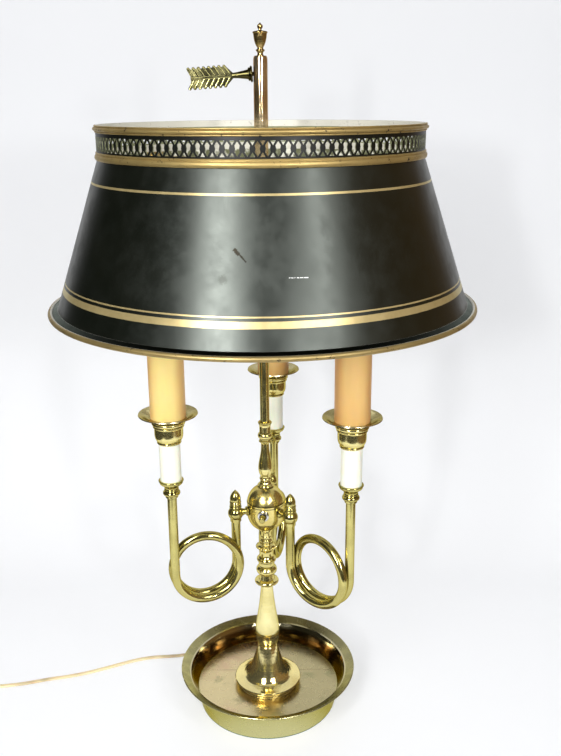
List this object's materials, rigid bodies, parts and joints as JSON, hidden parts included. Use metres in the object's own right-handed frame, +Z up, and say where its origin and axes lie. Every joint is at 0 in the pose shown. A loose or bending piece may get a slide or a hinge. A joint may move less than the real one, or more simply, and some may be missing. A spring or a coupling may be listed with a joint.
{
  "type": "table lamp",
  "caption": "Bouillotte table lamp: dished brass base, turned column, looped horn arms with candle lights, and a black metal shade with a pierced gallery that slides on a rod under an arrow key",
  "frame": {"origin": "on the table under the middle of the dished base", "axes": "+Z up; -Y faces the viewer, so the switch is at the front; +X is to the viewer's right"},
  "size_m": [0.5895, 0.412, 0.7108],
  "materials": {
    "brass": "polished and lacquered",
    "aged_brass": "polished, with a dulled floor",
    "gilt": "gold paint, worn on the edges",
    "tole": "black satin outside, cream inside",
    "ivory": "smooth, like a wax candle",
    "amber": "translucent, amber",
    "phenolic": "dark moulded insulator",
    "nickel": "nickel plate",
    "steel": "zinc plate",
    "iron": "rough casting",
    "felt": "green felt",
    "cord_relief": "matt brown",
    "cord": "clear gold, moulded",
    "plug": "moulded, gold-brown"
  },
  "bodies": {
    "lamp": {"tray": "aged_brass", "base_weight": "iron", "base_felt": "felt", "pipe_nuts": "steel", "threaded_pipe": "steel", "trumpet_foot": "brass", "tapered_stem": "brass", "stem_collar": "brass", "beaded_spool": "brass", "necking": "brass", "cluster_body": "brass", "cluster_cap": "brass", "switch_body": "phenolic", "switch_nut": "nickel", "nipple_nuts": "steel", "arm_tube_back": "brass", "arm_tube_right": "brass", "arm_tube_left": "brass", "arm_ball_back": "brass", "arm_ball_right": "brass", "arm_ball_left": "brass", "arm_acorns": "brass", "candle_collar_back": "brass", "candle_collar_right": "brass", "candle_collar_left": "brass", "candle_pipes": "steel", "candle_tube_back": "ivory", "candle_tube_right": "ivory", "candle_tube_left": "ivory", "candle_cup_back": "brass", "candle_cup_right": "brass", "candle_cup_left": "brass", "drip_pan_back": "brass", "drip_pan_right": "brass", "drip_pan_left": "brass", "amber_sleeve_back": "amber", "amber_sleeve_right": "amber", "amber_sleeve_left": "amber", "socket_back": "phenolic", "socket_right": "phenolic", "socket_left": "phenolic", "vase_column": "brass", "shade_rod": "brass", "finial": "brass", "cord_bushing": "cord_relief", "cord": "cord", "cord_coil": "cord", "plug": "plug"},
    "sleeve": {"shade_sleeve": "brass", "spider_nut": "aged_brass"},
    "shade": {"spider": "aged_brass", "shade_cone": "tole", "gallery": "tole", "top_roll": "gilt", "middle_ring": "gilt", "rim_roll": "gilt"},
    "key": {"arrow_key": "brass"},
    "knob": {"switch_knob": "brass"}
  },
  "joints": [
    {"name": "shade_height", "type": "slide", "parent": "lamp", "child": "sleeve", "axis": [0, 0, 1], "range_m": [-0.05, 0.008]},
    {"name": "shade_turn", "type": "hinge", "parent": "sleeve", "child": "shade", "pos_m": [0, 0, 0.58618], "axis": [0, 0, 1], "continuous": true},
    {"name": "key_turn", "type": "hinge", "parent": "sleeve", "child": "key", "pos_m": [0, 0, 0.66778], "axis": [-0.9976, 0, -0.0698], "range_deg": [0, 360]},
    {"name": "switch_turn", "type": "hinge", "parent": "lamp", "child": "knob", "pos_m": [0, 0, 0.232], "axis": [-0.1219, -0.9925, 0], "continuous": true}
  ]
}
